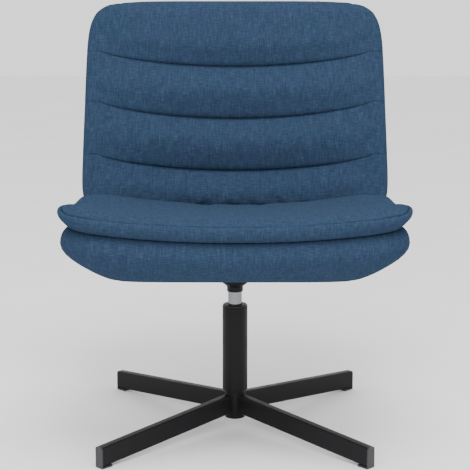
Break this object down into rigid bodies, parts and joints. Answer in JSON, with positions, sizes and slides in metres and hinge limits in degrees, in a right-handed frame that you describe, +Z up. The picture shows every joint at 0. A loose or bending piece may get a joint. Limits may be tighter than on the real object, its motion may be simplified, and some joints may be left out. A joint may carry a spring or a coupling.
{
  "type": "swivel office chair",
  "caption": "Armless swivel office chair with a wide upholstered seat and channelled back on a gas lift and a crossed tube base with plain feet.",
  "frame": {"origin": "on the floor under the swivel axis, at the centre of the box's underside", "axes": "+Z up along the swivel axis, -Y the way the sitter faces, +X to the sitter's left"},
  "size_m": [0.6652, 0.6353, 0.8408],
  "materials": {
    "black_powder_coat": "satin black powder coat",
    "foot_cap_plastic": "moulded dark grey plastic",
    "black_plastic": "moulded black plastic",
    "zinc_plated_steel": "zinc plated",
    "chrome": "polished chrome plate",
    "rubber": "moulded black rubber",
    "plywood": "sawn plywood",
    "blue_fabric": "woven linen-look upholstery over foam",
    "dust_cover_cloth": "black non-woven cloth"
  },
  "bodies": {
    "base": {"hub_tube": "black_powder_coat", "leg_front_left": "black_powder_coat", "leg_front_right": "black_powder_coat", "leg_rear_left": "black_powder_coat", "leg_rear_right": "black_powder_coat", "foot_cap_front_left": "foot_cap_plastic", "foot_cap_front_right": "foot_cap_plastic", "foot_cap_rear_left": "foot_cap_plastic", "foot_cap_rear_right": "foot_cap_plastic", "stand_tube": "black_powder_coat", "bottom_plate": "black_powder_coat", "guide_bush": "black_plastic", "lower_bearing_washer": "zinc_plated_steel", "retaining_washer": "zinc_plated_steel"},
    "bearing": {"bearing_cage": "black_plastic", "bearing_ball_1": "zinc_plated_steel", "bearing_ball_2": "zinc_plated_steel", "bearing_ball_3": "zinc_plated_steel", "bearing_ball_4": "zinc_plated_steel", "bearing_ball_5": "zinc_plated_steel", "bearing_ball_6": "zinc_plated_steel"},
    "lift_rod": {"piston_rod": "zinc_plated_steel", "piston_head": "zinc_plated_steel", "upper_bearing_washer": "zinc_plated_steel", "rubber_buffer": "rubber", "retaining_clip": "zinc_plated_steel"},
    "seat": {"gas_cylinder": "chrome", "rod_seal": "rubber", "taper_socket": "black_powder_coat", "seat_bracket": "black_powder_coat", "lever_bush": "black_plastic", "bracket_bolt_1": "zinc_plated_steel", "bracket_bolt_2": "zinc_plated_steel", "bracket_bolt_3": "zinc_plated_steel", "bracket_bolt_4": "zinc_plated_steel", "tee_nut_1": "zinc_plated_steel", "tee_nut_2": "zinc_plated_steel", "tee_nut_3": "zinc_plated_steel", "tee_nut_4": "zinc_plated_steel", "dust_cover": "dust_cover_cloth", "seat_board": "plywood", "seat_base": "blue_fabric", "seat_cushion": "blue_fabric", "back_board": "plywood", "back_cushion": "blue_fabric", "back_rear_panel": "blue_fabric", "back_strap_left": "zinc_plated_steel", "back_strap_right": "zinc_plated_steel", "seat_strap_bolt_left_1": "zinc_plated_steel", "seat_strap_bolt_left_2": "zinc_plated_steel", "seat_strap_bolt_right_1": "zinc_plated_steel", "seat_strap_bolt_right_2": "zinc_plated_steel", "back_strap_bolt_left_1": "zinc_plated_steel", "back_strap_bolt_left_2": "zinc_plated_steel", "back_strap_bolt_right_1": "zinc_plated_steel", "back_strap_bolt_right_2": "zinc_plated_steel"},
    "lever": {"lever_rod": "zinc_plated_steel", "lever_handle": "black_plastic"},
    "valve": {"valve_pin": "zinc_plated_steel"}
  },
  "joints": [
    {"name": "seat_swivel", "type": "hinge", "parent": "base", "child": "lift_rod", "pos_m": [0, 0, 0.1], "axis": [0, 0, 1], "continuous": true},
    {"name": "bearing_turn", "type": "hinge", "parent": "base", "child": "bearing", "pos_m": [0, 0, 0.0313], "axis": [0, 0, 1], "continuous": true},
    {"name": "seat_height", "type": "slide", "parent": "lift_rod", "child": "seat", "axis": [0, 0, 1], "range_m": [0, 0.08]},
    {"name": "height_lever", "type": "hinge", "parent": "seat", "child": "lever", "pos_m": [-0.0465, 0, 0.3205], "axis": [0, 1, 0], "range_deg": [0, 6], "stiffness_Nm_per_rad": 0.5},
    {"name": "valve_press", "type": "slide", "parent": "seat", "child": "valve", "axis": [0, 0, -1], "range_m": [0, 0.005]}
  ],
  "couplings": [
    {"joint": "bearing_turn", "follows": "seat_swivel", "ratio": 0.5},
    {"joint": "valve_press", "follows": "height_lever", "m_per_rad": 0.0465}
  ]
}
